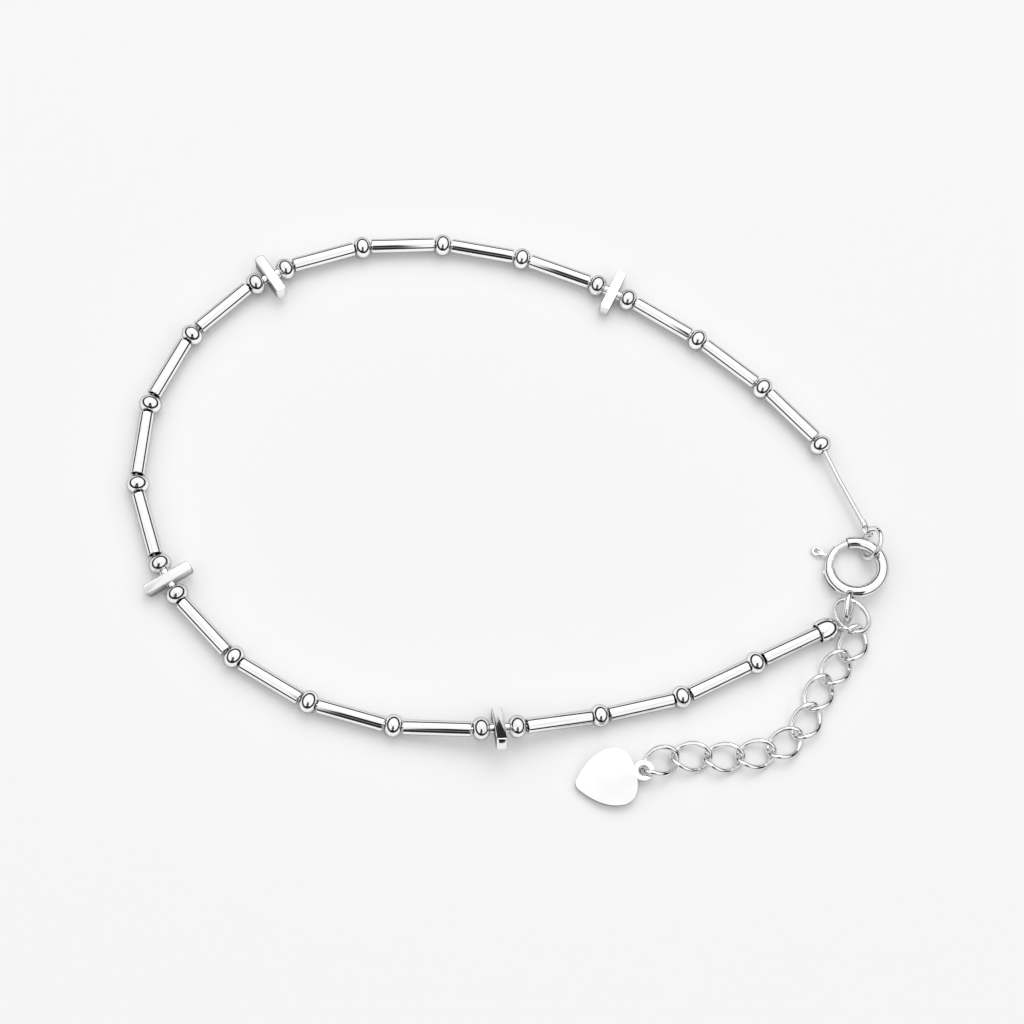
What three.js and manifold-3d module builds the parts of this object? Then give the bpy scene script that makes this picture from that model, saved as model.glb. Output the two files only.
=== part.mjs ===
// A beaded bracelet, laid down fastened: straight tube beads, round beads and four stick beads
// strung on a fine round chain, with a spring-ring clasp, an extension chain and a heart tag.
// Millimetres, +Z up. It lies on z = 0, with the middle of its box at x = 0, y = 0.
import * as THREE from "three";
import { mergeVertices } from "three/addons/utils/BufferGeometryUtils.js";
import Module from "manifold-3d";

// Driving dimensions, in mm and degrees.
const TUBE = { length: 5.37, radius: 0.61, bore: 0.46 };
// A round bead is oval in profile, and cut flat at its holes, where its rim is.
const BEAD = { radius: 0.92, halfAxis: 0.78, rim: 0.46, bore: 0.38, steps: 6 };
// Between one piece and the next, in each run of pieces that a stick bead ends.
const GAPS = [0.11, 0.135, 0.22, 0.125, 0.14];
const BAR = { length: 4.1, width: 0.9, height: 1.15, corner: 0.3, edge: 0.07 };
const BAR_BEADS_APART = 2.9; // middle to middle of the two round beads soldered to a stick bead
const COLLAR = { radius: 0.42, bore: 0.36, sunk: 0.05 }; // between them, and sunk that far into each
const BAR_ROLLS = [37, -9, -10, -2]; // how far each stick bead is turned about the thread, as it lies
const THREAD = { radius: 0.2, sides: 8, steps: 80 };
const CAP = { mouth: 1.0, bore: 0.76, over: 0.22, shoulder: 0.95, floor: 0.7, dome: 1.66 };
const CAP_RING = { radius: 0.64, wire: 0.14, out: 2, side: -0.787, yaw: -43.4 };
const CRIMP = { radius: 0.3, bore: 0.24, over: 0.3, length: 0.6 };
const CRIMP_RING = { radius: 0.476, wire: 0.12, turn: -34 };
const CLASP = { radius: 2.23, tube: 0.5, bore: 0.42, end: 182, sweep: 279 };
const CLASP_PLACE = { x: 28.64, y: -5.25, z: 1.0, lean: -5, tilt: -11 };
const EYELET = { angle: -105.8, from: 2.35, to: 4.75, halfHeight: 0.85, wire: 0.26, turn: 12, clear: 13 };
const BOLT = { sleeve: 0.37, tip: 0.23, tail: 205, shoulder: 129, point: 95 };
const TRIGGER = { angle: 151, from: 2.8, wide: 3.5, to: 3.98, halfWidth: 0.45, thickness: 0.26 };
const STEM = { radius: 0.13, length: 1.1 }; // it holds the trigger on the sleeve
const SLOT = { inner: 2.45, outer: 3.0, halfWidth: 0.18, to: 226 }; // the trigger runs along it
const JUMP_RING = { radius: 1.277, wire: 0.21, x: 30.046, y: -3.276, z: 1.396, facing: 172, lean: 66.7 };
const LINK = { halfLength: 1.6, halfWidth: 1.1, wire: 0.2, twist: 41, pitch: 2.67 };
const LINK_HEIGHT = 0.6; // of a link's middle above the surface
const LINK_COUNT = 10;
// The first link goes through the clasp's eyelet, and the second through the end cap's ring too.
const FIRST_LINK = { x: 27.92, y: -9.471, heading: -45.6, roll: 24.9, lift: 0.329 };
const CHAIN_START = 1.547; // of the second link's middle, along the route
const LAST_LINK = { twist: 66.2, lift: 0.201 }; // it stands steeper, through the tag's eyelet
const TAG = { thickness: 0.32, x: 9.64, y: -22.22, heading: 190.5, lift: 0.653, dip: 4.43 };
const TAG_EYE = { radius: 0.84, hole: 0.428 };
// Where the places below have the middle of the object's box.
const BOX_MIDDLE = { x: -0.13, y: 0.05 };
const SIDES = 14; // of a round piece
const FINE_SIDES = 12;
const WIRE_SIDES = 6;

// The thread's centre line, from the end cap round to the chain end.
const THREAD_ROUTE = [
  [25.4, -10.77, 1.03],
  [19.5, -13.4, 0.93],
  [13.2, -16.2, 0.93],
  [6.3, -17.7, 0.95],
  [-1.8, -18.8, 1.78],
  [-10.0, -18.36, 0.95],
  [-16.45, -16.52, 0.93],
  [-22.4, -12.95, 0.93],
  [-27.98, -6.52, 1.02],
  [-30.7, 1.7, 0.93],
  [-29.9, 9.0, 0.93],
  [-26.8, 15.1, 0.93],
  [-20.6, 20.7, 1.02],
  [-12.7, 23.72, 0.93],
  [-5.5, 24.2, 0.93],
  [1.28, 23.08, 0.93],
  [9.06, 20.09, 0.93],
  [16.0, 15.9, 0.93],
  [21.45, 11.46, 0.93],
  [26.13, 6.54, 0.96],
  [28.1, 2.3, 0.86],
  [29.691, -1.375, 0.945],
];
// T is a tube, o a round bead, I a stick bead with a round bead soldered to each side.
const STRINGING = "ToToToTI".repeat(4) + "ToToTo";
const FIRST_TUBE_AT = 0.35; // how far the thread shows past the first tube, inside the end cap

// The extension chain's middle line, from its second link to the heart tag.
const LINK_ROUTE = [
  [28.387, -10.284],
  [27.95, -11.7],
  [26.3, -13.8],
  [24.6, -16.0],
  [23.3, -18.4],
  [21.3, -20.2],
  [18.8, -21.0],
  [16.1, -21.2],
  [13.4, -21.1],
  [11.096, -21.477],
  [10.003, -22.203],
];

const SILVER = { color: 0xdcdcda, roughness: 0.12, metalness: 1 };
const Z = new THREE.Vector3(0, 0, 1);
const radians = THREE.MathUtils.degToRad;

const wasm = await Module();
wasm.setup();

const bracelet = new THREE.Group();
bracelet.position.set(-BOX_MIDDLE.x, -BOX_MIDDLE.y, 0);

// ---- helpers ----

// A closed geometry as a solid that can be joined or cut.
function solid(geometry) {
  const bare = geometry.clone();
  bare.deleteAttribute("normal");
  bare.deleteAttribute("uv");
  const merged = mergeVertices(bare, 1e-4);
  const vertProperties = new Float32Array(merged.attributes.position.array);
  const triVerts = new Uint32Array(merged.index.array);
  return new wasm.Manifold(new wasm.Mesh({ numProp: 3, vertProperties, triVerts }));
}

function geometryOf(made) {
  const mesh = made.getMesh();
  const geometry = new THREE.BufferGeometry();
  geometry.setAttribute("position", new THREE.BufferAttribute(mesh.vertProperties, 3));
  geometry.setIndex(new THREE.BufferAttribute(mesh.triVerts, 1));
  const faceted = geometry.toNonIndexed();
  faceted.computeVertexNormals();
  return faceted;
}

function joined(geometries) {
  return geometries.map(solid).reduce((all, next) => all.add(next));
}

function addPiece(name, geometry, parent = bracelet) {
  const mesh = new THREE.Mesh(geometry, new THREE.MeshStandardMaterial(SILVER));
  mesh.name = name;
  parent.add(mesh);
  return mesh;
}

function numbered(name, number) {
  return name + "_" + String(number).padStart(2, "0");
}

// A round piece about the X axis from [x, radius] points, its outside first, in the order of X.
function turned(profile, sides = SIDES) {
  const points = [...profile, profile[0]].map(([x, radius]) => new THREE.Vector2(radius, -x));
  return new THREE.LatheGeometry(points.reverse(), sides).rotateZ(Math.PI / 2);
}

function pipe(length, radius, bore, sides = SIDES) {
  const half = length / 2;
  return turned([[-half, bore], [-half, radius], [half, radius], [half, bore]], sides);
}

function circle(radius, sides = FINE_SIDES) {
  const shape = new THREE.Shape();
  for (let i = 0; i < sides; i++) {
    const turn = (i / sides) * 2 * Math.PI;
    const step = i ? "lineTo" : "moveTo";
    shape[step](radius * Math.cos(turn), radius * Math.sin(turn));
  }
  return shape;
}

// A curve from a function of u, 0 to 1.
class Route extends THREE.Curve {
  constructor(at) {
    super();
    this.at = at;
  }
  getPoint(u, target = new THREE.Vector3()) {
    return target.copy(this.at(u));
  }
}

function arcRoute(radius, from, to) {
  return new Route((u) => {
    const angle = radians(THREE.MathUtils.lerp(from, to, u));
    return new THREE.Vector3(radius * Math.cos(angle), radius * Math.sin(angle), 0);
  });
}

function swept(shape, extrudePath, steps) {
  return new THREE.ExtrudeGeometry(shape, { extrudePath, steps, bevelEnabled: false });
}

// A closed wire loop, oval in XY, whose two ends are turned about X by their twists.
function wireLoop(halfLength, halfWidth, wire, segments, twistBack = 0, twistFront = 0) {
  const centreLine = new Route((u) => {
    const t = u * 2 * Math.PI;
    const front = ((1 + Math.cos(t)) / 2) ** 1.5;
    const back = ((1 - Math.cos(t)) / 2) ** 1.5;
    const turn = radians(front * twistFront - back * twistBack);
    const across = halfWidth * Math.sin(t);
    return new THREE.Vector3(halfLength * Math.cos(t), across * Math.cos(turn), across * Math.sin(turn));
  });
  return new THREE.TubeGeometry(centreLine, segments, wire, WIRE_SIDES, true);
}

// ---- the thread and what is strung on it ----

const threadPoints = THREAD_ROUTE.map((point) => new THREE.Vector3(...point));
const thread = new THREE.CatmullRomCurve3(threadPoints, false, "centripetal");
thread.arcLengthDivisions = 2000;
const threadLength = thread.getLength();

// Puts a piece, made about its own X axis, on the thread between two distances along it.
function string(piece, from, to, roll = 0) {
  const start = thread.getPointAt(from / threadLength);
  const end = thread.getPointAt(to / threadLength);
  const along = end.clone().sub(start).normalize();
  const across = Z.clone().cross(along).normalize();
  const up = along.clone().cross(across);
  piece.quaternion.setFromRotationMatrix(new THREE.Matrix4().makeBasis(along, across, up));
  piece.rotateX(radians(roll));
  piece.position.copy(start).add(end).multiplyScalar(0.5);
  return piece;
}

function beadProfile() {
  const rimTurn = Math.asin(BEAD.rim / BEAD.radius);
  const arc = Array.from({ length: BEAD.steps + 1 }, (_, i) => {
    const turn = THREE.MathUtils.lerp(rimTurn, Math.PI - rimTurn, i / BEAD.steps);
    return [-BEAD.halfAxis * Math.cos(turn), BEAD.radius * Math.sin(turn)];
  });
  const half = arc[BEAD.steps][0];
  return { half, profile: [[-half, BEAD.bore], ...arc, [half, BEAD.bore]] };
}
const { half: BEAD_HALF, profile: BEAD_PROFILE } = beadProfile();

// A flat-sided stick with rounded corners, across the thread, between two collars and two beads.
function barUnit() {
  const halfL = BAR.length / 2 - BAR.edge;
  const halfW = BAR.width / 2 - BAR.edge;
  const c = BAR.corner;
  const outline = new THREE.Shape();
  outline.moveTo(-halfW + c, -halfL);
  outline.lineTo(halfW - c, -halfL);
  outline.absarc(halfW - c, -halfL + c, c, -Math.PI / 2, 0);
  outline.absarc(halfW - c, halfL - c, c, 0, Math.PI / 2);
  outline.absarc(-halfW + c, halfL - c, c, Math.PI / 2, Math.PI);
  outline.absarc(-halfW + c, -halfL + c, c, Math.PI, 1.5 * Math.PI);
  const depth = BAR.height - 2 * BAR.edge;
  const bevel = { bevelThickness: BAR.edge, bevelSize: BAR.edge, bevelSegments: 1, curveSegments: 3 };
  const stick = new THREE.ExtrudeGeometry(outline, { depth, ...bevel }).translate(0, 0, -depth / 2);
  const collarLength = BAR_BEADS_APART - 2 * BEAD_HALF + 2 * COLLAR.sunk;
  const collars = pipe(collarLength, COLLAR.radius, COLLAR.bore, FINE_SIDES);
  const beads = [-1, 1].map((side) => turned(BEAD_PROFILE).translate((side * BAR_BEADS_APART) / 2, 0, 0));
  const bore = new THREE.CylinderGeometry(BEAD.bore, BEAD.bore, collarLength, FINE_SIDES);
  bore.rotateZ(Math.PI / 2);
  return geometryOf(solid(stick).subtract(solid(bore)).add(joined([collars, ...beads])));
}

const BAR_UNIT = BAR_BEADS_APART + 2 * BEAD_HALF;
const piecesOnThread = {
  T: { name: "tube_bead", length: TUBE.length, geometry: pipe(TUBE.length, TUBE.radius, TUBE.bore) },
  o: { name: "round_bead", length: 2 * BEAD_HALF, geometry: turned(BEAD_PROFILE) },
  I: { name: "stick_bead", length: BAR_UNIT, geometry: barUnit() },
};

let reached = FIRST_TUBE_AT;
const counts = { T: 0, o: 0, I: 0 };
for (const kind of STRINGING) {
  const { name, length, geometry } = piecesOnThread[kind];
  const roll = kind === "I" ? BAR_ROLLS[counts.I] : 0;
  counts[kind] += 1;
  string(addPiece(numbered(name, counts[kind]), geometry), reached, reached + length, roll);
  reached += length + GAPS[counts.I];
}

addPiece("thread_chain", swept(circle(THREAD.radius, THREAD.sides), thread, THREAD.steps));

// ---- the two ends of the thread ----

// Bell-shaped cap over the first tube's end, with a small ring soldered to its dome.
function endCap() {
  const outside = [
    [-CAP.over, CAP.mouth * 0.9],
    [CAP.shoulder * 0.35, CAP.mouth],
    [CAP.shoulder, CAP.mouth * 0.92],
    [CAP.dome * 0.88, CAP.mouth * 0.6],
    [CAP.dome, CAP.mouth * 0.2],
    [CAP.dome, 0],
  ];
  const inside = [
    [CAP.floor, 0],
    [CAP.floor, CAP.bore * 0.8],
    [CAP.over, CAP.bore],
    [-CAP.over, CAP.bore],
  ];
  const bell = turned([...outside, ...inside]);
  const ring = new THREE.TorusGeometry(CAP_RING.radius, CAP_RING.wire, WIRE_SIDES, FINE_SIDES);
  ring.rotateX(Math.PI / 2).rotateZ(radians(CAP_RING.yaw));
  ring.translate(CAP_RING.out, CAP_RING.side, 0);
  return geometryOf(joined([bell, ring]));
}

const cap = string(addPiece("end_cap", endCap()), FIRST_TUBE_AT + TUBE.length, FIRST_TUBE_AT);
cap.position.copy(thread.getPointAt(FIRST_TUBE_AT / threadLength));

// Crimped sleeve on the bare chain's end, with the ring that the jump ring goes through.
function crimp() {
  const closed = CRIMP.length - CRIMP.over;
  const sleeve = [[-CRIMP.over, CRIMP.bore], [-CRIMP.over, CRIMP.radius], [closed, CRIMP.radius]];
  const shell = turned([...sleeve, [closed, 0], [0.1, 0], [0.1, CRIMP.bore]], FINE_SIDES);
  const ring = new THREE.TorusGeometry(CRIMP_RING.radius, CRIMP_RING.wire, WIRE_SIDES, FINE_SIDES);
  ring.rotateX(radians(CRIMP_RING.turn)).translate(closed + CRIMP_RING.radius, 0, 0);
  return geometryOf(joined([shell, ring]));
}

const chainEnd = string(addPiece("chain_end", crimp()), threadLength - 0.6, threadLength);
chainEnd.position.copy(thread.getPointAt(1));

// ---- clasp ----

const clasp = new THREE.Group();
clasp.position.set(CLASP_PLACE.x, CLASP_PLACE.y, CLASP_PLACE.z);
clasp.rotation.set(radians(CLASP_PLACE.lean), radians(CLASP_PLACE.tilt), 0);
bracelet.add(clasp);

// A flat ring sector about Z, between two radii and two angles.
function sector(inner, outer, from, to, halfHeight) {
  const shape = new THREE.Shape();
  shape.absarc(0, 0, outer, radians(from), radians(to), false);
  shape.absarc(0, 0, inner, radians(to), radians(from), true);
  const options = { depth: 2 * halfHeight, bevelEnabled: false, curveSegments: 8 };
  return new THREE.ExtrudeGeometry(shape, options).translate(0, 0, -halfHeight);
}

function claspBody() {
  const section = circle(CLASP.tube);
  section.holes.push(circle(CLASP.bore));
  const tube = solid(swept(section, arcRoute(CLASP.radius, CLASP.end, CLASP.end + CLASP.sweep), 44));
  const slot = solid(sector(SLOT.inner, SLOT.outer, CLASP.end - 2, SLOT.to, SLOT.halfWidth));
  const eyelet = wireLoop((EYELET.to - EYELET.from) / 2, EYELET.halfHeight, EYELET.wire, 18);
  eyelet.rotateX(Math.PI / 2 + radians(EYELET.turn));
  eyelet.translate((EYELET.to + EYELET.from) / 2, 0, 0);
  eyelet.rotateZ(radians(EYELET.angle));
  const nearEyelet = arcRoute(CLASP.radius, EYELET.angle - EYELET.clear, EYELET.angle + EYELET.clear);
  const bore = solid(swept(circle(CLASP.bore), nearEyelet, 4));
  return geometryOf(tube.subtract(slot).add(solid(eyelet).subtract(bore)));
}

// The sprung bolt: a sleeve that slides into the tube, its tip, and the trigger on a stem.
function claspBolt() {
  const sleeve = swept(circle(BOLT.sleeve), arcRoute(CLASP.radius, BOLT.tail, BOLT.shoulder), 14);
  const tip = swept(circle(BOLT.tip), arcRoute(CLASP.radius, BOLT.shoulder + 4, BOLT.point), 7);
  const stem = new THREE.CylinderGeometry(STEM.radius, STEM.radius, STEM.length, WIRE_SIDES);
  stem.rotateZ(Math.PI / 2).translate(TRIGGER.from, 0, 0);
  const tear = new THREE.Shape();
  const flank = (TRIGGER.from + TRIGGER.wide) / 2 - 0.1;
  tear.moveTo(TRIGGER.from, 0);
  tear.quadraticCurveTo(flank, -TRIGGER.halfWidth, TRIGGER.wide, -TRIGGER.halfWidth);
  tear.quadraticCurveTo(TRIGGER.to, -TRIGGER.halfWidth, TRIGGER.to, 0);
  tear.quadraticCurveTo(TRIGGER.to, TRIGGER.halfWidth, TRIGGER.wide, TRIGGER.halfWidth);
  tear.quadraticCurveTo(flank, TRIGGER.halfWidth, TRIGGER.from, 0);
  const options = { depth: TRIGGER.thickness, bevelEnabled: false, curveSegments: 5 };
  const plate = new THREE.ExtrudeGeometry(tear, options).translate(0, 0, -TRIGGER.thickness / 2);
  const turn = radians(TRIGGER.angle);
  return geometryOf(joined([sleeve, tip, stem.rotateZ(turn), plate.rotateZ(turn)]));
}

addPiece("clasp_body", claspBody(), clasp);
addPiece("clasp_bolt", claspBolt(), clasp);

const ring = addPiece("jump_ring", wireLoop(JUMP_RING.radius, JUMP_RING.radius, JUMP_RING.wire, 20));
ring.position.set(JUMP_RING.x, JUMP_RING.y, JUMP_RING.z);
ring.rotation.set(0, 0, radians(JUMP_RING.facing));
ring.rotateY(radians(JUMP_RING.lean));

// ---- extension chain and heart tag ----

const linkPoints = LINK_ROUTE.map(([x, y]) => new THREE.Vector3(x, y, LINK_HEIGHT));
const linkLine = new THREE.CatmullRomCurve3(linkPoints);
const linkLineLength = linkLine.getLength();

function addLink(number, twistBack, twistFront) {
  const loop = wireLoop(LINK.halfLength, LINK.halfWidth, LINK.wire, 20, twistBack, twistFront);
  return addPiece(numbered("link", number), loop);
}

const firstLink = addLink(1, 0, 0);
firstLink.position.set(FIRST_LINK.x, FIRST_LINK.y, LINK_HEIGHT + FIRST_LINK.lift);
firstLink.rotation.z = radians(FIRST_LINK.heading);
firstLink.rotateX(radians(FIRST_LINK.roll));
for (let number = 2; number <= LINK_COUNT; number++) {
  const last = number === LINK_COUNT;
  const link = addLink(number, LINK.twist, last ? LAST_LINK.twist : LINK.twist);
  const along = (CHAIN_START + (number - 2) * LINK.pitch) / linkLineLength;
  const heading = linkLine.getTangentAt(along);
  link.position.copy(linkLine.getPointAt(along));
  link.position.z += last ? LAST_LINK.lift : 0;
  link.rotation.z = Math.atan2(heading.y, heading.x);
}

// Polished sheet heart with an eyelet; its own X runs from the eyelet to the heart's point.
function heartTag() {
  const heart = new THREE.Shape();
  heart.moveTo(0.62, 0);
  heart.bezierCurveTo(0.5, -0.8, 0.8, -2.33, 2.25, -2.33);
  heart.bezierCurveTo(3.55, -2.33, 4.7, -1.31, 5.45, -0.35);
  heart.quadraticCurveTo(5.73, 0, 5.45, 0.35);
  heart.bezierCurveTo(4.7, 1.31, 3.55, 2.33, 2.25, 2.33);
  heart.bezierCurveTo(0.8, 2.33, 0.5, 0.8, 0.62, 0);
  const options = { depth: TAG.thickness, bevelEnabled: false, curveSegments: 8 };
  const plate = new THREE.ExtrudeGeometry(heart, options);
  const eye = new THREE.ExtrudeGeometry(circle(TAG_EYE.radius, SIDES), options);
  const hole = new THREE.CylinderGeometry(TAG_EYE.hole, TAG_EYE.hole, 4 * TAG.thickness, FINE_SIDES);
  return geometryOf(joined([plate, eye]).subtract(solid(hole.rotateX(Math.PI / 2))));
}

const tag = addPiece("heart_tag", heartTag());
tag.position.set(TAG.x, TAG.y, TAG.lift);
tag.rotation.z = radians(TAG.heading);
tag.rotateY(radians(TAG.dip));

export default bracelet;
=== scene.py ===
"""A fastened beaded bracelet in polished sterling silver, lying as one loop on a pale studio floor.

Sizes are in millimetres and degrees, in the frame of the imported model. Each small function makes one
kind of piece about its own X axis, and the last part strings, links and lights them.
"""

import math

import bmesh
import bpy
import numpy as np
from mathutils import Matrix, Vector


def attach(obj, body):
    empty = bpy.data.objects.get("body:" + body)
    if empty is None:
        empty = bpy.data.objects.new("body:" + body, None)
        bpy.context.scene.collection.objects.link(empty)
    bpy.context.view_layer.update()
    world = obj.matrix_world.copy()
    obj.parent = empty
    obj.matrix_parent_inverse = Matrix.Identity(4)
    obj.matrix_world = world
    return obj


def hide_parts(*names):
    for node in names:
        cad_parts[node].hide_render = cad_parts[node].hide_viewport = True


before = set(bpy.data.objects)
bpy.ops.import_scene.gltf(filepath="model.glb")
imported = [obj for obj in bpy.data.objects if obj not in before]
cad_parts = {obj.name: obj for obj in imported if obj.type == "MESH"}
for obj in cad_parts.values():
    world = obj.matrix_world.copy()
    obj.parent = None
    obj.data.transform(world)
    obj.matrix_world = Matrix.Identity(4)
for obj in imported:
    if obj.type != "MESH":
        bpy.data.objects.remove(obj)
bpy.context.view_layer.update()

MM = 0.001
BOX_MIDDLE = {"x": -0.13, "y": 0.05}  # where the places below have the middle of the object's box

# ---- sizes of the pieces ----

TUBE = {"length": 5.37, "radius": 0.61, "bore": 0.47, "lip": 0.06}
BEAD = {"radius": 0.92, "half_axis": 0.78, "rim": 0.46, "bore": 0.38}
# Gaps between one piece and the next, in each run of pieces that a stick bead ends.
GAPS = [0.11, 0.135, 0.22, 0.125, 0.14]
BAR = {"length": 4.1, "width": 0.9, "height": 1.15, "corner": 0.3, "edge": 0.09}
BAR_BEADS_APART = 2.9  # middle to middle of the two round beads soldered to a stick bead
COLLAR = {"radius": 0.42, "bore": 0.36, "sunk": 0.05}  # between them, and sunk that far into each
BAR_ROLLS = [37, -9, -10, -2]  # how far each stick bead has rolled about the thread
THREAD = {"radius": 0.2, "plate": 0.32, "groove": 0.07, "joints": 4, "rows": 5, "sides": 20}
CAP = {"mouth": 1.0, "bore": 0.76, "over": 0.22, "shoulder": 0.95, "floor": 0.7, "dome": 1.66}
CAP_RING = {"radius": 0.64, "wire": 0.14, "out": 2, "side": -0.787, "yaw": -43.4}
CRIMP = {"radius": 0.3, "bore": 0.24, "over": 0.3, "length": 0.6}
CRIMP_RING = {"radius": 0.476, "wire": 0.12, "turn": -34}
CLASP = {"radius": 2.23, "tube": 0.5, "bore": 0.42, "end": 182, "sweep": 279}
CLASP_PLACE = {"x": 28.64, "y": -5.25, "z": 1.0, "lean": -5, "tilt": -11}
EYELET = {"angle": -105.8, "from": 2.35, "to": 4.75, "half_height": 0.85, "wire": 0.26, "turn": 12}
EYELET_CLEAR = 12  # the eyelet is cut away inside the tube this far each way
BOLT = {"sleeve": 0.37, "tip": 0.23, "tail": 205, "shoulder": 129, "point": 95}
TRIGGER = {"angle": 151, "from": 2.8, "wide": 3.5, "to": 3.98, "half_width": 0.45, "thickness": 0.26}
STEM = {"radius": 0.13, "length": 1.1}
SLOT = {"inner": 2.45, "outer": 3.0, "half_width": 0.16, "before": 4, "to": 226}
JUMP_RING = {"radius": 1.277, "wire": 0.21, "facing": 172, "lean": 66.7}
JUMP_RING_PLACE = (30.046, -3.276, 1.396)
LINK = {"half_length": 1.6, "half_width": 1.1, "wire": 0.2, "twist": 41, "pitch": 2.67}
LINK_HEIGHT = 0.6
LINK_COUNT = 10
FIRST_LINK = {"x": 27.92, "y": -9.471, "heading": -45.6, "roll": 24.9, "lift": 0.329}
CHAIN_START = 1.547  # how far along its line the second link is
LAST_LINK = {"twist": 66.2, "lift": 0.201}  # it stands steeper, through the tag's eyelet
TAG = {"thickness": 0.32, "x": 9.64, "y": -22.22, "heading": 190.5, "lift": 0.653, "dip": 4.43, "edge": 0.07}
TAG_EYE = {"radius": 0.84, "hole": 0.428}
SEAM = {"width": 0.05, "depth": 0.14}  # where a ring's two ends meet

# The thread's centre line, from the end cap round to the chain end.
THREAD_ROUTE = [
    (25.4, -10.77, 1.03),
    (19.5, -13.4, 0.93),
    (13.2, -16.2, 0.93),
    (6.3, -17.7, 0.95),
    (-1.8, -18.8, 1.78),
    (-10.0, -18.36, 0.95),
    (-16.45, -16.52, 0.93),
    (-22.4, -12.95, 0.93),
    (-27.98, -6.52, 1.02),
    (-30.7, 1.7, 0.93),
    (-29.9, 9.0, 0.93),
    (-26.8, 15.1, 0.93),
    (-20.6, 20.7, 1.02),
    (-12.7, 23.72, 0.93),
    (-5.5, 24.2, 0.93),
    (1.28, 23.08, 0.93),
    (9.06, 20.09, 0.93),
    (16.0, 15.9, 0.93),
    (21.45, 11.46, 0.93),
    (26.13, 6.54, 0.96),
    (28.1, 2.3, 0.86),
    (29.691, -1.375, 0.945),
]
STRINGING = "ToToToTI" * 4 + "ToToTo"  # T a tube, o a round bead, I a stick bead with its two beads
FIRST_TUBE_AT = 0.35

# The extension chain's middle line, from its second link to the heart tag.
LINK_ROUTE = [
    (28.387, -10.284),
    (27.95, -11.7),
    (26.3, -13.8),
    (24.6, -16.0),
    (23.3, -18.4),
    (21.3, -20.2),
    (18.8, -21.0),
    (16.1, -21.2),
    (13.4, -21.1),
    (11.096, -21.477),
    (10.003, -22.203),
]

# ---- meshes: each part of a piece is (points, faces) about the X axis ----


def rounded(corners, steps=4):
    """A closed outline from (x, y, fillet) corners, each turned into a small curve."""
    points = []
    count = len(corners)
    for i, (x, y, fillet) in enumerate(corners):
        here = np.array((x, y), float)
        if not fillet:
            points.append(here)
            continue
        before = np.array(corners[i - 1][:2], float) - here
        after = np.array(corners[(i + 1) % count][:2], float) - here
        start = here + before * min(fillet / np.linalg.norm(before), 0.5)
        end = here + after * min(fillet / np.linalg.norm(after), 0.5)
        for t in np.linspace(0, 1, steps + 1):
            points.append((1 - t) ** 2 * start + 2 * t * (1 - t) * here + t**2 * end)
    return np.array(points)


def stepped(outline, longest):
    """The closed outline with its long sides cut into steps, so that it can be bent."""
    points = []
    for here, after in zip(outline, np.roll(outline, -1, axis=0)):
        cuts = max(1, math.ceil(np.linalg.norm(after - here) / longest))
        points.extend(here + (after - here) * k / cuts for k in range(cuts))
    return np.array(points)


def grid_faces(rows, columns):
    """Quads of a grid that closes on itself both ways."""
    row, column = np.meshgrid(np.arange(rows), np.arange(columns), indexing="ij")
    next_row, next_column = (row + 1) % rows, (column + 1) % columns
    corners = [(row, column), (next_row, column), (next_row, next_column), (row, next_column)]
    return np.stack([(r * columns + c).ravel() for r, c in corners], axis=1)


def turned(outline, sides=56):
    """A closed outline of (x, radius) points, turned about the X axis."""
    turn = np.linspace(0, 2 * math.pi, sides, endpoint=False)
    x, radius = outline[:, 0][:, None], outline[:, 1][:, None]
    points = np.stack([x + 0 * turn, radius * np.cos(turn), radius * np.sin(turn)], axis=2)
    return points.reshape(-1, 3), grid_faces(len(outline), sides)


def wire(centres, radii, sides=18):
    """A closed wire of round section along closed centre points."""
    ahead = np.roll(centres, -1, axis=0) - np.roll(centres, 1, axis=0)
    ahead /= np.linalg.norm(ahead, axis=1)[:, None]
    middle = centres.mean(axis=0)
    outward = centres - middle
    outward -= (outward * ahead).sum(axis=1)[:, None] * ahead
    outward /= np.linalg.norm(outward, axis=1)[:, None]
    aside = np.cross(ahead, outward)
    turn = np.linspace(0, 2 * math.pi, sides, endpoint=False)
    ring = outward[:, None] * np.cos(turn)[:, None] + aside[:, None] * np.sin(turn)[:, None]
    points = centres[:, None] + ring * np.reshape(radii, (-1, 1, 1))
    return points.reshape(-1, 3), grid_faces(len(centres), sides)


def moved(part, matrix):
    """A part under a 4 by 4 matrix."""
    points, faces = part
    matrix = np.array(matrix)
    return points @ matrix[:3, :3].T + matrix[:3, 3], faces


def bent(part, radius, start):
    """A part along X, bent round Z onto a circle, with its x = 0 at the start angle."""
    points, faces = part
    angle = math.radians(start) + points[:, 0] / radius
    reach = radius + points[:, 1]
    return np.stack([reach * np.cos(angle), reach * np.sin(angle), points[:, 2]], axis=1), faces


def smoothed(mesh, sharp):
    """The mesh shaded smooth, with its edges over the sharp angle kept crisp."""
    mesh.shade_smooth()
    mesh.set_sharp_from_angle(angle=math.radians(sharp))
    return mesh


def shown(name, data):
    """A new object in the scene."""
    made = bpy.data.objects.new(name, data)
    bpy.context.scene.collection.objects.link(made)
    return made


def mesh_of(name, parts, sharp=40):
    """One smooth mesh from parts in millimetres, its edges over the sharp angle kept crisp."""
    made = bmesh.new()
    for points, faces in parts:
        vertices = [made.verts.new(p * MM) for p in points]
        for face in faces:
            made.faces.new([vertices[i] for i in face])
    bmesh.ops.remove_doubles(made, verts=made.verts, dist=0.0005 * MM)
    bmesh.ops.dissolve_degenerate(made, edges=made.edges, dist=0.0002 * MM)
    bmesh.ops.recalc_face_normals(made, faces=made.faces)
    mesh = bpy.data.meshes.new(name)
    made.to_mesh(mesh)
    made.free()
    return smoothed(mesh, sharp)


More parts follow.
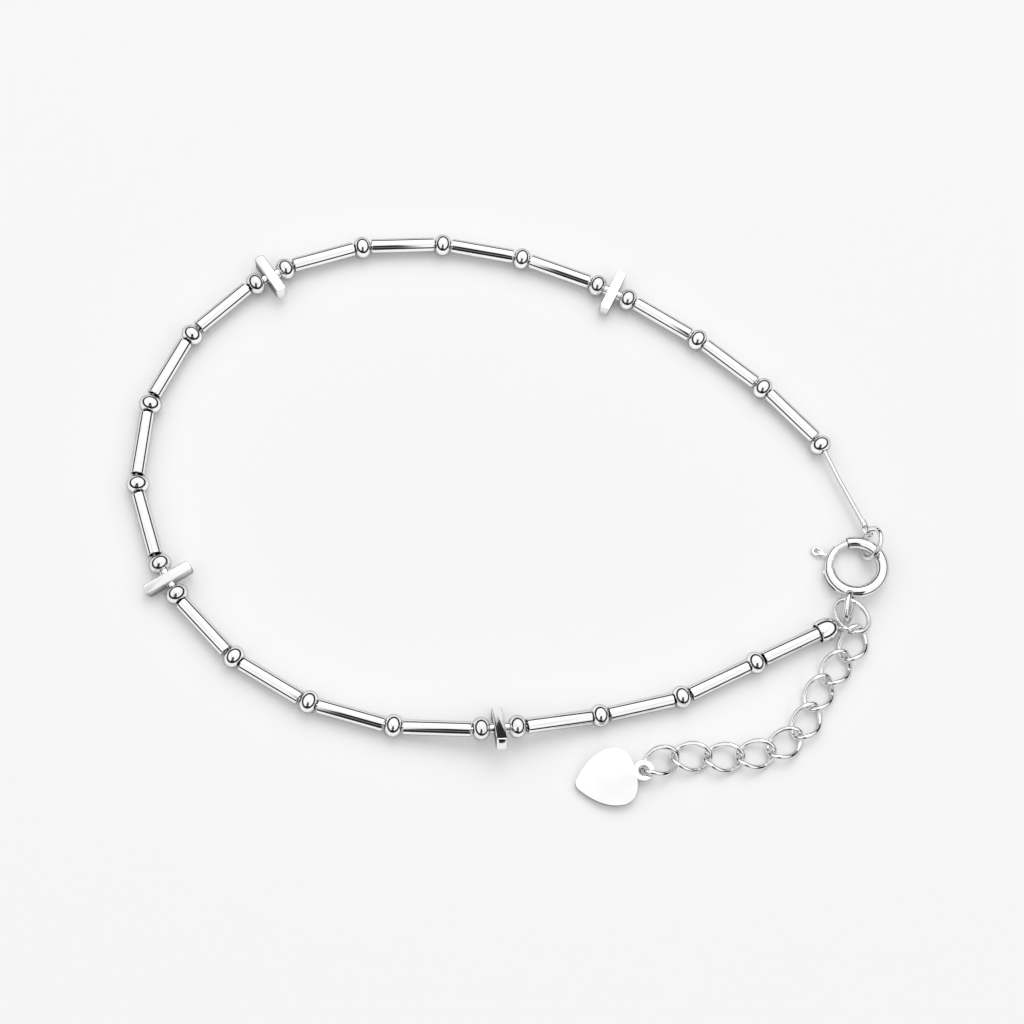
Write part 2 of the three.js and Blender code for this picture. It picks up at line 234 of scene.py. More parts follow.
def joined(name, meshes, sharp=40):
    """One smooth mesh from several that are soldered where they meet."""
    made = bmesh.new()
    for mesh in meshes:
        made.from_mesh(mesh)
    result = bpy.data.meshes.new(name)
    made.to_mesh(result)
    made.free()
    return smoothed(result, sharp)


def with_modifiers(mesh, modifiers):
    """The mesh after (type, settings) modifiers."""
    source = shown("source", mesh)
    for kind, settings in modifiers:
        modifier = source.modifiers.new(kind, kind)
        for key, value in settings.items():
            setattr(modifier, key, value)
    graph = bpy.context.evaluated_depsgraph_get()
    result = bpy.data.meshes.new_from_object(source.evaluated_get(graph))
    bpy.data.objects.remove(source)
    return result


def cut(mesh, *cutters):
    """The mesh with each cutter mesh taken out of it."""
    for cutter in cutters:
        tool = shown("cutter", cutter)
        settings = {"object": tool, "operation": "DIFFERENCE", "solver": "EXACT"}
        mesh = with_modifiers(mesh, [("BOOLEAN", settings)])
        bpy.data.objects.remove(tool)
    return mesh


def bevel(width, segments, over):
    """A bevel of the edges over an angle, as a modifier."""
    limit = {"limit_method": "ANGLE", "angle_limit": math.radians(over)}
    return "BEVEL", {"width": width * MM, "segments": segments, **limit}


def slab(outline, thickness):
    """A closed outline of (x, y) points as a slab centred on Z = 0."""
    count = len(outline)
    flat = np.column_stack([outline, np.zeros(count)])
    lift = np.array((0, 0, thickness / 2))
    points = np.concatenate([flat - lift, flat + lift])
    sides = [(i, (i + 1) % count, (i + 1) % count + count, i + count) for i in range(count)]
    return points, [tuple(range(count)), tuple(range(count, 2 * count)), *sides]


# ---- routes ----


class Route:
    """A smooth curve through points, read by distance along it."""

    def __init__(self, points, per_span=240):
        points = np.array(points, float)
        first, last = 2 * points[0] - points[1], 2 * points[-1] - points[-2]
        held = np.vstack([first, points, last])
        spans = [self.span(*held[i : i + 4], per_span) for i in range(len(points) - 1)]
        self.points = np.vstack([*spans, points[-1:]])
        steps = np.linalg.norm(np.diff(self.points, axis=0), axis=1)
        self.reached = np.concatenate([[0], np.cumsum(steps)])
        self.length = self.reached[-1]

    @staticmethod
    def span(p0, p1, p2, p3, count):
        """A centripetal Catmull-Rom span from p1 to p2."""
        d0, d1, d2 = (np.linalg.norm(b - a) ** 0.5 for a, b in ((p0, p1), (p1, p2), (p2, p3)))
        leave = ((p1 - p0) / d0 - (p2 - p0) / (d0 + d1) + (p2 - p1) / d1) * d1
        arrive = ((p2 - p1) / d1 - (p3 - p1) / (d1 + d2) + (p3 - p2) / d2) * d1
        t = np.linspace(0, 1, count, endpoint=False)[:, None]
        across = (-3 * p1 + 3 * p2 - 2 * leave - arrive) * t**2
        return p1 + leave * t + across + (2 * p1 - 2 * p2 + leave + arrive) * t**3

    def at(self, distance):
        """Points at distances along the route."""
        return np.stack([np.interp(distance, self.reached, self.points[:, k]) for k in range(3)], axis=-1)

    def heading(self, distance):
        """Unit directions at distances along the route."""
        step = 0.02
        ahead = self.at(np.minimum(distance + step, self.length)) - self.at(np.maximum(distance - step, 0))
        return ahead / np.linalg.norm(ahead, axis=-1, keepdims=True)


def upright_axes(along):
    """Columns along, across and up for a piece that follows a direction."""
    across = np.cross((0, 0, 1), along)
    across /= np.linalg.norm(across, axis=-1, keepdims=True)
    return along, across, np.cross(along, across)


thread = Route(THREAD_ROUTE)


def on_thread(start, end, roll=0.0):
    """Where a piece made about its X axis sits between two distances along the thread."""
    a, b = thread.at(start), thread.at(end)
    axes = upright_axes((b - a) / np.linalg.norm(b - a))
    seat = Matrix(np.column_stack(axes).tolist()).to_4x4() @ Matrix.Rotation(math.radians(roll), 4, "X")
    return Matrix.Translation((a + b) / 2) @ seat


def turn(angle, axis):
    return Matrix.Rotation(math.radians(angle), 4, axis)


def shift(x, y, z=0.0):
    return Matrix.Translation((x, y, z))


# ---- materials ----


def srgb(code, alpha=1.0):
    """An sRGB hex code as linear colour values."""
    parts = [int(code[i : i + 2], 16) / 255 for i in (0, 2, 4)]
    return (*[v / 12.92 if v <= 0.04045 else ((v + 0.055) / 1.055) ** 2.4 for v in parts], alpha)


def add(tree, kind, inputs=None, **settings):
    """Adds a node, sets its properties, and fills its inputs with values or links other nodes' outputs."""
    node = tree.nodes.new(kind)
    for key, value in settings.items():
        setattr(node, key, value)
    for key, value in (inputs or {}).items():
        if isinstance(value, bpy.types.NodeSocket):
            tree.links.new(value, node.inputs[key])
        else:
            node.inputs[key].default_value = value
    return node


def new_material(name):
    material = bpy.data.materials.new(name)
    material.use_nodes = True
    material.node_tree.nodes.clear()
    return material, material.node_tree


TONE_DRIFT = 3.0  # over which the silver's tone changes
PAINTED_DARK_EDGE = "8C8C8C"  # the silver's tone where it is seen edge-on: painted shade that darkens its reflections towards every outline, to draw dark outlines


def silver(name, bright, dull, stretch, feature, roughness, relief, mark_depth):
    """Sterling silver. Its colour drifts between two tones over a few millimetres, and its surface has
    marks of the given feature size, stretched along X, that break the gloss and dent it slightly."""
    material, tree = new_material(name)
    place = add(tree, "ShaderNodeTexCoord").outputs["Object"]
    scaled = add(tree, "ShaderNodeMapping", {"Vector": place, "Scale": (1 / stretch, 1, 1)}).outputs[0]
    marks = add(tree, "ShaderNodeTexNoise",
                {"Vector": scaled, "Scale": 1 / (feature * MM), "Detail": 3.0}).outputs["Fac"]
    drift = add(tree, "ShaderNodeTexNoise",
                {"Vector": place, "Scale": 1 / (TONE_DRIFT * MM), "Detail": 2.0}).outputs["Fac"]
    tone = add(tree, "ShaderNodeValToRGB", {"Fac": drift})
    tone.color_ramp.elements[0].position, tone.color_ramp.elements[0].color = 0.35, srgb(dull)
    tone.color_ramp.elements[1].position, tone.color_ramp.elements[1].color = 0.65, srgb(bright)
    gloss = add(tree, "ShaderNodeMapRange",
                {"Value": marks, "From Min": 0.3, "From Max": 0.7,
                 "To Min": roughness[0], "To Max": roughness[1]}).outputs[0]
    dent = add(tree, "ShaderNodeBump",
               {"Height": marks, "Strength": relief, "Distance": mark_depth * MM}).outputs[0]
    # The Specular Tint is painted shade: it darkens the reflection where the surface is seen edge-on, to draw
    # dark outlines.
    shader = add(tree, "ShaderNodeBsdfPrincipled",
                 {"Base Color": tone.outputs["Color"], "Metallic": 1.0, "Roughness": gloss, "Normal": dent,
                  "Specular Tint": srgb(PAINTED_DARK_EDGE)})
    add(tree, "ShaderNodeOutputMaterial", {"Surface": shader.outputs[0]})
    return material


# Drawn tube: mirror-polished over faint lengthwise lines from the draw plate.
DRAWN_SILVER = silver("drawn_silver_tube", "F6F6F5", "EDEDEC", 30, 0.12, (0.03, 0.07), 0.2, 0.003)
# Tumble-polished beads: the brightest surface, with only the softest unevenness.
BEAD_SILVER = silver("tumbled_silver_bead", "F6F6F5", "EFEFEE", 1, 0.35, (0.03, 0.05), 0.15, 0.004)
# Milled stick: flat faces buffed lengthways, a little softer than the beads.
STICK_SILVER = silver("buffed_silver_stick", "F3F3F2", "E9E9E8", 8, 0.1, (0.06, 0.12), 0.2, 0.002)
# Drawn wire of the rings, links and clasp.
WIRE_SILVER = silver("polished_silver_wire", "F4F4F3", "EBEBEA", 3, 0.15, (0.03, 0.06), 0.15, 0.003)
# Fine snake chain: many small plates, so its gloss is broken up.
CHAIN_SILVER = silver("snake_chain_silver", "EDEDEC", "DEDEDD", 1, 0.08, (0.06, 0.12), 0.2, 0.003)
# Stamped sheet: flat and bright, with a light orange-peel from the press.
SHEET_SILVER = silver("stamped_silver_sheet", "F5F5F4", "EEEEED", 2, 0.5, (0.07, 0.12), 0.25, 0.004)


PAPER_TOOTH = 0.4


def paper_floor():
    """Matt studio paper with a very fine tooth, painted brighter where it is seen in the silver's
    reflections.
    """
    material, tree = new_material("studio_paper")
    place = add(tree, "ShaderNodeTexCoord").outputs["Object"]
    tooth = add(tree, "ShaderNodeTexNoise",
                {"Vector": place, "Scale": 1 / (PAPER_TOOTH * MM), "Detail": 3.0}).outputs["Fac"]
    dent = add(tree, "ShaderNodeBump", {"Height": tooth, "Strength": 0.15, "Distance": 0.01 * MM}).outputs[0]
    # Painted reflection: seen in the silver, the paper is painted pure white, brighter than it looks itself.
    mirrored = add(tree, "ShaderNodeLightPath").outputs["Is Glossy Ray"]
    tone = add(tree, "ShaderNodeMix", {"Factor": mirrored, "A": srgb("F3F3F2"), "B": srgb("FFFFFF")},
               data_type="RGBA").outputs["Result"]
    shader = add(tree, "ShaderNodeBsdfPrincipled",
                 {"Base Color": tone, "Roughness": 0.9, "Specular IOR Level": 0.1, "Normal": dent})
    add(tree, "ShaderNodeOutputMaterial", {"Surface": shader.outputs[0]})
    return material


# ---- pieces ----


def finish_piece(name, mesh, material, place, nodes, body="bracelet"):
    """Puts a mesh in its place in the frame, in the stead of its CAD nodes."""
    if not mesh.materials:
        mesh.materials.append(material)
    piece = shown(name, mesh)
    matrix = shift(-BOX_MIDDLE["x"], -BOX_MIDDLE["y"]) @ place
    matrix.translation *= MM
    piece.matrix_world = matrix
    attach(piece, body)
    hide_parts(*nodes)
    return piece


def tube_bead():
    """A thin drawn tube whose two mouths are broken to a smooth lip."""
    half = TUBE["length"] / 2
    bore, radius, lip = TUBE["bore"], TUBE["radius"], TUBE["lip"]
    corners = [(-half, bore, lip), (-half, radius, lip), (half, radius, lip), (half, bore, lip)]
    return turned(rounded(corners))


def bead_outline():
    """Half the oval section of a round bead: its outside arc, its two rims and its hole."""
    rim_turn = math.asin(BEAD["rim"] / BEAD["radius"])
    turns = np.linspace(rim_turn, math.pi - rim_turn, 33)
    arc = np.column_stack([-BEAD["half_axis"] * np.cos(turns), BEAD["radius"] * np.sin(turns)])
    half = arc[-1][0]
    lip = 0.03
    start = [(-half + lip, BEAD["bore"]), (-half, BEAD["bore"] + lip)]
    end = [(half, BEAD["bore"] + lip), (half - lip, BEAD["bore"])]
    return half, np.vstack([start, arc, end])


BEAD_HALF, BEAD_OUTLINE = bead_outline()


def round_bead():
    return turned(BEAD_OUTLINE, 64)


def stick_outline():
    """The stick's outline, thickness along X and length along Y, with rounded corners."""
    x, y = BAR["width"] / 2, BAR["length"] / 2
    corner = BAR["corner"]
    return rounded([(-x, -y, corner), (x, -y, corner), (x, y, corner), (-x, y, corner)], 6)


def stick_bead_mesh():
    """A flat-sided stick between two collars, each soldered to a round bead."""
    slab_mesh = mesh_of("stick", [slab(stick_outline(), BAR["height"])])
    stick = with_modifiers(slab_mesh, [bevel(BAR["edge"], 4, 50)])
    reach = BAR_BEADS_APART / 2 - BEAD_HALF + COLLAR["sunk"]
    inner, outer = COLLAR["bore"], COLLAR["radius"]
    collars = []
    for side in (-1, 1):
        near, far = sorted((side * (BAR["width"] / 2 - COLLAR["sunk"]), side * reach))
        collars.append(turned(np.array([(near, inner), (near, outer), (far, outer), (far, inner)]), 40))
    beads = [moved(round_bead(), Matrix.Translation((side * BAR_BEADS_APART / 2, 0, 0))) for side in (-1, 1)]
    return joined("stick_bead", [stick, mesh_of("collars_and_beads", [*collars, *beads])], 35)


def string_beads():
    """Tubes, round beads and stick beads in their order along the thread."""
    kinds = {
        "T": ("tube_bead", TUBE["length"], mesh_of("tube_bead", [tube_bead()]), DRAWN_SILVER),
        "o": ("round_bead", 2 * BEAD_HALF, mesh_of("round_bead", [round_bead()]), BEAD_SILVER),
        "I": ("stick_bead", BAR_BEADS_APART + 2 * BEAD_HALF, stick_bead_mesh(), STICK_SILVER),
    }
    counts = dict.fromkeys(kinds, 0)
    reached = FIRST_TUBE_AT
    for kind in STRINGING:
        node, length, mesh, material = kinds[kind]
        roll = BAR_ROLLS[counts[kind]] if kind == "I" else 0
        counts[kind] += 1
        number = f"{counts[kind]:02d}"
        place = on_thread(reached, reached + length, roll)
        finish_piece(f"polished_{node}_{number}", mesh, material, place, [f"{node}_{number}"])
        reached += length + GAPS[counts["I"]]


def snake_chain():
    """The round snake chain: short curved plates whose joints zigzag round it."""
    radius, plate = THREAD["radius"], THREAD["plate"]
    sides = THREAD["sides"]
    rows = int(thread.length / plate * THREAD["rows"])
    distance = np.linspace(0, thread.length, rows)
    angle = np.linspace(0, 2 * math.pi, sides, endpoint=False)
    zigzag = np.abs((angle * THREAD["joints"] / (2 * math.pi)) % 1 - 0.5)
    phase = (distance[:, None] / plate + zigzag[None, :]) % 1
    ridge = np.sin(math.pi * phase) ** 0.5
    size = radius * (1 - THREAD["groove"] + THREAD["groove"] * ridge)
    size[0] = size[-1] = 0.001  # both ends are closed
    _, across, up = upright_axes(thread.heading(distance))
    ring = across[:, None] * np.cos(angle)[:, None] + up[:, None] * np.sin(angle)[:, None]
    points = thread.at(distance)[:, None] + ring * size[:, :, None]
    faces = grid_faces(rows, sides)
    mesh = mesh_of("snake_chain", [(points.reshape(-1, 3), faces[: (rows - 1) * sides])], 60)
    finish_piece("snake_chain", mesh, CHAIN_SILVER, Matrix.Identity(4), ["thread_chain"])


def seam_radii(count, loop_length, radius, seam_at=0.5):
    """The wire's radius round a loop, pinched to a fine line where its two ends meet."""
    along = (np.arange(count) / count - seam_at) * loop_length
    return radius * (1 - SEAM["depth"] * np.exp(-((along / SEAM["width"]) ** 2)))


def small_ring(radius, wire_radius):
    turns = np.linspace(0, 2 * math.pi, 64, endpoint=False)
    centres = np.column_stack([radius * np.cos(turns), radius * np.sin(turns), 0 * turns])
    return wire(centres, np.full(64, wire_radius), 16)


def end_cap():
    """A bell over the first tube's end, with a small ring soldered beside its dome."""
    mouth, bore = CAP["mouth"], CAP["bore"]
    outline = rounded([
        (-CAP["over"], bore, 0.04),
        (-CAP["over"], mouth * 0.9, 0.06),
        (CAP["shoulder"] * 0.35, mouth, 0.3),
        (CAP["shoulder"], mouth * 0.92, 0.3),
        (CAP["dome"] * 0.88, mouth * 0.6, 0.3),
        (CAP["dome"], mouth * 0.2, 0.1),
        (CAP["dome"], 0, 0),
        (CAP["floor"], 0, 0),
        (CAP["floor"], bore * 0.8, 0.1),
        (CAP["over"], bore, 0.1),
    ], 6)
    ring = moved(
        small_ring(CAP_RING["radius"], CAP_RING["wire"]),
        shift(CAP_RING["out"], CAP_RING["side"]) @ turn(CAP_RING["yaw"], "Z") @ turn(90, "X"),
    )
    mesh = mesh_of("end_cap", [turned(outline), ring])
    place = on_thread(FIRST_TUBE_AT + TUBE["length"], FIRST_TUBE_AT)
    place.translation = thread.at(FIRST_TUBE_AT)
    finish_piece("polished_end_cap", mesh, BEAD_SILVER, place, ["end_cap"])


def chain_end():
    """A crimped sleeve on the bare chain's end, with its soldered ring."""
    closed = CRIMP["length"] - CRIMP["over"]
    bore, radius = CRIMP["bore"], CRIMP["radius"]
    outline = rounded([
        (-CRIMP["over"], bore, 0.02),
        (-CRIMP["over"], radius, 0.04),
        (-CRIMP["over"] * 0.2, radius, 0.05),
        (0, radius * 0.9, 0.05),
        (CRIMP["over"] * 0.2, radius, 0.05),
        (closed, radius, 0.12),
        (closed, 0, 0),
        (0.1, 0, 0),
        (0.1, bore, 0.02),
    ])
    ring = moved(
        small_ring(CRIMP_RING["radius"], CRIMP_RING["wire"]),
        Matrix.Translation((closed + CRIMP_RING["radius"], 0, 0)) @ turn(CRIMP_RING["turn"], "X"),
    )
    mesh = mesh_of("chain_end", [turned(outline, 40), ring])
    place = on_thread(thread.length - 0.6, thread.length)
    place.translation = thread.at(thread.length)
    finish_piece("polished_chain_end", mesh, WIRE_SILVER, place, ["chain_end"])


# ---- clasp ----

CLASP_SEAT = (
    shift(CLASP_PLACE["x"], CLASP_PLACE["y"], CLASP_PLACE["z"])
    @ turn(CLASP_PLACE["lean"], "X")
    @ turn(CLASP_PLACE["tilt"], "Y")
)


def arc_length(degrees):
    return math.radians(degrees) * CLASP["radius"]


def clasp_pipe(from_angle, to_angle, radius, bore, lip, sides=40):
    """A length of round pipe or rod along the clasp's circle."""
    length = arc_length(to_angle - from_angle)
    inner_lip = lip if bore else 0
    corners = [(0, bore, inner_lip), (0, radius, lip), (length, radius, lip), (length, bore, inner_lip)]
    return bent(turned(stepped(rounded(corners), 0.12), sides), CLASP["radius"], from_angle)


def clasp_body():
    """The spring ring's hollow tube, slotted for the trigger, with its standing eyelet."""
    tube = mesh_of("clasp_tube", [
        clasp_pipe(CLASP["end"], CLASP["end"] + CLASP["sweep"], CLASP["tube"], CLASP["bore"], 0.03)
    ])
    slot_length = arc_length(SLOT["to"] - CLASP["end"] + SLOT["before"])
    middle = (SLOT["inner"] + SLOT["outer"]) / 2 - CLASP["radius"]
    reach, half = (SLOT["outer"] - SLOT["inner"]) / 2, SLOT["half_width"]
    ends = rounded([(0, -half, 0), (slot_length, -half, 0.16), (slot_length, half, 0.16), (0, half, 0)])
    flat = moved(slab(stepped(ends, 0.15), 2 * reach), Matrix.Translation((0, middle, 0)) @ turn(90, "X"))
    slot = mesh_of("slot", [bent(flat, CLASP["radius"], CLASP["end"] - SLOT["before"])])
    tube = cut(tube, slot)
    count = 96
    turns = np.linspace(0, 2 * math.pi, count, endpoint=False)
    half_length = (EYELET["to"] - EYELET["from"]) / 2
    centres = np.column_stack([half_length * np.cos(turns), EYELET["half_height"] * np.sin(turns), 0 * turns])
    eyelet = moved(
        wire(centres, np.full(count, EYELET["wire"])),
        turn(EYELET["angle"], "Z")
        @ shift((EYELET["to"] + EYELET["from"]) / 2, 0)
        @ turn(90 + EYELET["turn"], "X"),
    )
    start, end = EYELET["angle"] - EYELET_CLEAR, EYELET["angle"] + EYELET_CLEAR
    inside = mesh_of("inside", [clasp_pipe(start, end, CLASP["bore"] + 0.02, 0, 0)])
    loop = cut(mesh_of("eyelet", [eyelet]), inside)
    mesh = joined("clasp_body", [tube, loop])
    finish_piece("spring_ring_tube", mesh, WIRE_SILVER, CLASP_SEAT, ["clasp_body"])


def clasp_bolt():
    """The sliding sleeve, its narrower tip and the trigger, a small drop-shaped loop on its stem."""
    sleeve = clasp_pipe(BOLT["shoulder"], BOLT["tail"], BOLT["sleeve"], 0, 0.06)
    tip = clasp_pipe(BOLT["point"], BOLT["shoulder"] + 4, BOLT["tip"], 0, 0.06)
    half = STEM["length"] / 2
    rod = turned(np.array([(-half, 0), (-half, STEM["radius"]), (half, STEM["radius"]), (half, 0)]), 24)
    stem = moved(rod, turn(TRIGGER["angle"], "Z") @ Matrix.Translation((TRIGGER["from"], 0, 0)))
    t = np.linspace(0, 2 * math.pi, 72, endpoint=False)
    rim = TRIGGER["thickness"] / 2
    length = TRIGGER["to"] - TRIGGER["from"] - 2 * rim
    along = TRIGGER["from"] + rim + length * (1 - np.cos(t)) / 2
    wide = (TRIGGER["half_width"] - rim) * np.sin(t) * np.sin(t / 2) ** 0.6 * 1.1
    drop = wire(np.column_stack([along, wide, 0 * t]), np.full(72, rim))
    plate = mesh_of("trigger", [moved(drop, turn(TRIGGER["angle"], "Z"))])
    mesh = joined("clasp_bolt", [plate, mesh_of("bolt", [sleeve, tip, stem])])
    finish_piece("spring_ring_bolt", mesh, WIRE_SILVER, CLASP_SEAT, ["clasp_bolt"], body="bolt")


def wire_loop(half_length, half_width, wire_radius, twist_back=0.0, twist_front=0.0, seam_at=0.3):
    """A closed wire loop, oval in XY, whose two ends are turned about X by their twists."""
    count = 128
    t = np.linspace(0, 2 * math.pi, count, endpoint=False)
    front, back = ((1 + np.cos(t)) / 2) ** 1.5, ((1 - np.cos(t)) / 2) ** 1.5
    turned_by = np.radians(front * twist_front - back * twist_back)
    across = half_width * np.sin(t)
    height = across * np.sin(turned_by)
    centres = np.column_stack([half_length * np.cos(t), across * np.cos(turned_by), height])
    loop_length = math.pi * (half_length + half_width)
    return wire(centres, seam_radii(count, loop_length, wire_radius, seam_at))


def jump_ring():
    """The open ring that the clasp is fastened to."""
    ring = JUMP_RING
    mesh = mesh_of("jump_ring", [wire_loop(ring["radius"], ring["radius"], ring["wire"], seam_at=0.62)])
    place = shift(*JUMP_RING_PLACE) @ turn(ring["facing"], "Z") @ turn(ring["lean"], "Y")
    finish_piece("polished_jump_ring", mesh, WIRE_SILVER, place, ["jump_ring"])


def extension_chain():
    """Ten oval links: the first lies flat and carries the rest, and the last stands through the tag."""
    line = Route([(x, y, LINK_HEIGHT) for x, y in LINK_ROUTE])
    for number in range(1, LINK_COUNT + 1):
        first, last = number == 1, number == LINK_COUNT
        back = 0 if first else LINK["twist"]
        front = 0 if first else LAST_LINK["twist"] if last else LINK["twist"]
        loop = wire_loop(LINK["half_length"], LINK["half_width"], LINK["wire"], back, front)
        mesh = mesh_of(f"link_{number:02d}", [loop])
        if first:
            spot = shift(FIRST_LINK["x"], FIRST_LINK["y"], LINK_HEIGHT + FIRST_LINK["lift"])
            place = spot @ turn(FIRST_LINK["heading"], "Z") @ turn(FIRST_LINK["roll"], "X")
        else:
            distance = CHAIN_START + (number - 2) * LINK["pitch"]
            heading = line.heading(distance)
            lift = (0, 0, LAST_LINK["lift"] if last else 0)
            angle = math.degrees(math.atan2(heading[1], heading[0]))
            place = Matrix.Translation(line.at(distance) + lift) @ turn(angle, "Z")
        finish_piece(f"polished_link_{number:02d}", mesh, WIRE_SILVER, place, [f"link_{number:02d}"])


def cubic(p0, p1, p2, p3, steps=24):
    t = np.linspace(0, 1, steps, endpoint=False)[:, None]
    p0, p1, p2, p3 = (np.array(p, float) for p in (p0, p1, p2, p3))
    return (1 - t) ** 3 * p0 + 3 * t * (1 - t) ** 2 * p1 + 3 * t**2 * (1 - t) * p2 + t**3 * p3


def heart_tag():
    """A polished sheet heart with an eyelet; its own X runs from the eyelet to its point."""
    eye = TAG_EYE["radius"]
    lobe_start, lobe_end = (0.66, -0.52), (0.66, 0.52)
    upper = [
        cubic(lobe_start, (0.66, -1.0), (0.9, -2.33), (2.25, -2.33)),
        cubic((2.25, -2.33), (3.55, -2.33), (4.7, -1.31), (5.45, -0.35)),
        cubic((5.45, -0.35), (5.61, -0.16), (5.61, 0.16), (5.45, 0.35), 8),
        cubic((5.45, 0.35), (4.7, 1.31), (3.55, 2.33), (2.25, 2.33)),
        cubic((2.25, 2.33), (0.9, 2.33), (0.66, 1.0), lobe_end),
    ]
    start = math.atan2(lobe_end[1], lobe_end[0])
    turns = np.linspace(start, 2 * math.pi - start, 40)[1:-1]
    lug = np.column_stack([eye * np.cos(turns), eye * np.sin(turns)])
    outline = np.vstack([*upper, [lobe_end], lug])
    plate = mesh_of("heart", [slab(outline, TAG["thickness"])])
    hole_radius = TAG_EYE["hole"]
    drill = turned(np.array([(-1, 0), (-1, hole_radius), (1, hole_radius), (1, 0)]), 48)
    hole = mesh_of("hole", [drill])
    hole.transform(turn(90, "Y"))
    mesh = smoothed(with_modifiers(cut(plate, hole), [bevel(TAG["edge"], 3, 60)]), 30)
    lift = shift(0, 0, TAG["thickness"] / 2)
    place = shift(TAG["x"], TAG["y"], TAG["lift"]) @ turn(TAG["heading"], "Z") @ turn(TAG["dip"], "Y")
    finish_piece("heart_tag_plate", mesh, SHEET_SILVER, place @ lift, ["heart_tag"])


string_beads()
snake_chain()
end_cap()
chain_end()
clasp_body()
clasp_bolt()
jump_ring()
extension_chain()
heart_tag()

# ---- studio ----

ROOM_WHITE = 1.12  # the room's brightness in the silver
ROOM_FILL = 1.07  # how much of it falls on the floor, beside the key light
HORIZON = {"dark": 20, "clear": 27}  # the walls are dark up to the first elevation and white from the second
DARK_WALL, PALE_WALL, DARK_THING, BACKDROP = "2A2A2A", "FDFDFF", "262626", "F6F6F7"
# Dark things in the white room, by azimuth from -Y and by elevation, with how dark each is.
OPENINGS = [
    {"azimuth": -8, "half": 19, "soft": 6, "low": 5, "high": 36, "dark": 1.0},  # the stand, up to its joint
    {"azimuth": -8, "half": 21, "soft": 6, "low": 36, "high": 42, "dark": 0.75},  # the stand's bright joint
    {"azimuth": -8, "half": 22, "soft": 6, "low": 42, "high": 72, "dark": 1.0},  # the stand's arm
    {"azimuth": 0, "half": 33, "soft": 6, "low": -2, "high": 17, "dark": 0.9},  # the foot of the open side
    {"azimuth": -20, "half": 100, "soft": 15, "low": 60, "high": 66, "dark": 0.3},  # the cloth's rim
    {"azimuth": 95, "half": 22, "soft": 10, "low": -2, "high": 20, "dark": 0.5},  # a doorway
]


def floor():
    half = 2.5
    corners = [(-half, -half, 0), (half, -half, 0), (half, half, 0), (-half, half, 0)]
    mesh = bpy.data.meshes.new("floor")
    mesh.from_pydata(corners, [], [(0, 1, 2, 3)])
    mesh.materials.append(paper_floor())
    shown("floor", mesh)


def smooth_step(tree, value, low, high):
    settings = {"Value": value, "From Min": low, "From Max": high}
    return add(tree, "ShaderNodeMapRange", settings, interpolation_type="SMOOTHSTEP").outputs[0]


def product(tree, first, *others):
    for other in others:
        first = add(tree, "ShaderNodeMath", {0: first, 1: other}, operation="MULTIPLY").outputs[0]
    return first


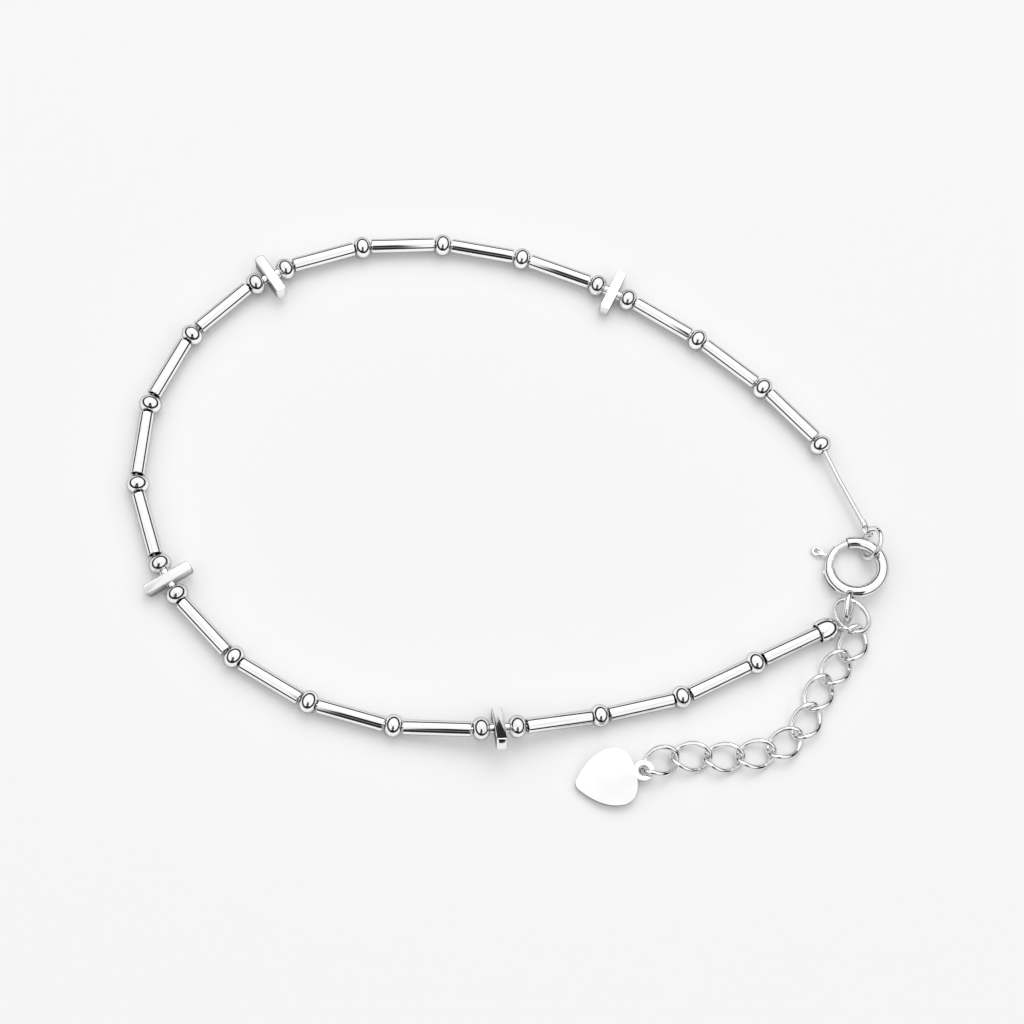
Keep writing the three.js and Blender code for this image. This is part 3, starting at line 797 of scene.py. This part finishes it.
def room():
    """A white room whose side towards -Y is open and dark, which draws the dark lines on the silver."""
    world = bpy.data.worlds.new("room")
    bpy.context.scene.world = world
    world.use_nodes = True
    tree = world.node_tree
    tree.nodes.clear()
    direction = add(tree, "ShaderNodeTexCoord").outputs["Generated"]
    axes = add(tree, "ShaderNodeSeparateXYZ", {0: direction})
    flat = add(tree, "ShaderNodeCombineXYZ", {0: axes.outputs[0], 1: axes.outputs[1]})
    level = add(tree, "ShaderNodeVectorMath", {0: flat.outputs[0]}, operation="NORMALIZE")
    sine = add(tree, "ShaderNodeMath", {0: axes.outputs[2]}, operation="ARCSINE")
    elevation = product(tree, sine.outputs[0], math.degrees(1))
    wall = add(tree, "ShaderNodeMapRange",
               {"Value": elevation, "From Min": HORIZON["dark"], "From Max": HORIZON["clear"]}).outputs[0]
    walls = add(tree, "ShaderNodeMix", {"Factor": wall, "A": srgb(DARK_WALL), "B": srgb(PALE_WALL)},
                data_type="RGBA").outputs["Result"]
    for gap in OPENINGS:
        turned_to = math.radians(gap["azimuth"])
        middle = (math.sin(turned_to), -math.cos(turned_to), 0)
        ahead = add(tree, "ShaderNodeVectorMath", {0: level.outputs[0], 1: middle}, operation="DOT_PRODUCT")
        wide, narrow = (math.cos(math.radians(gap["half"] + side * gap["soft"])) for side in (1, -1))
        facing = smooth_step(tree, ahead.outputs["Value"], wide, narrow)
        above = smooth_step(tree, elevation, gap["low"] - 1, gap["low"] + 1)
        below = smooth_step(tree, elevation, gap["high"] + 1, gap["high"] - 1)
        dark = product(tree, facing, above, below, gap["dark"])
        walls = add(tree, "ShaderNodeMix", {"Factor": dark, "A": walls, "B": srgb(DARK_THING)},
                    data_type="RGBA").outputs["Result"]
    path = add(tree, "ShaderNodeLightPath").outputs
    for_floor = {"Value": path["Is Diffuse Ray"], "To Min": ROOM_WHITE, "To Max": ROOM_WHITE * ROOM_FILL}
    strength = add(tree, "ShaderNodeMapRange", for_floor).outputs[0]
    lit = add(tree, "ShaderNodeBackground", {"Color": walls, "Strength": strength})
    plain = add(tree, "ShaderNodeBackground", {"Color": srgb(BACKDROP), "Strength": 1.0})
    seen_as = {0: path["Is Camera Ray"], 1: lit.outputs[0], 2: plain.outputs[0]}
    both = add(tree, "ShaderNodeMixShader", seen_as)
    add(tree, "ShaderNodeOutputWorld", {"Surface": both.outputs[0]})


KEY_LIGHT = {"place": (0.06, 0.47, 0.82), "size": 0.6, "power": 1.9}


def softbox(name, place, size, power):
    """A square soft light aimed at the middle of the floor. Places and sizes are in metres."""
    lamp = bpy.data.lights.new(name, "AREA")
    lamp.size = size
    lamp.energy = power
    light = shown(name, lamp)
    light.location = place
    light.rotation_euler = (-Vector(place)).to_track_quat("-Z", "Y").to_euler()


CAMERA = {"distance": 166.7, "azimuth": 19.13, "elevation": 69.5, "roll": 18.0, "lens": 70.3}


def camera():
    """Looks down at the middle of the floor, turned about its own line of sight."""
    data = bpy.data.cameras.new("camera")
    data.lens = CAMERA["lens"]
    data.clip_start, data.clip_end = 0.01, 10
    eye = shown("camera", data)
    orbit = turn(-CAMERA["azimuth"], "Z") @ turn(90 - CAMERA["elevation"], "X")
    back = Matrix.Translation((0, 0, CAMERA["distance"] * MM))
    aim = Matrix.Translation((-BOX_MIDDLE["x"] * MM, -BOX_MIDDLE["y"] * MM, 0))
    eye.matrix_world = aim @ orbit @ back @ turn(CAMERA["roll"], "Z")
    bpy.context.scene.camera = eye


floor()
room()
softbox("key", **KEY_LIGHT)
camera()
bpy.context.scene.view_settings.view_transform = "Standard"
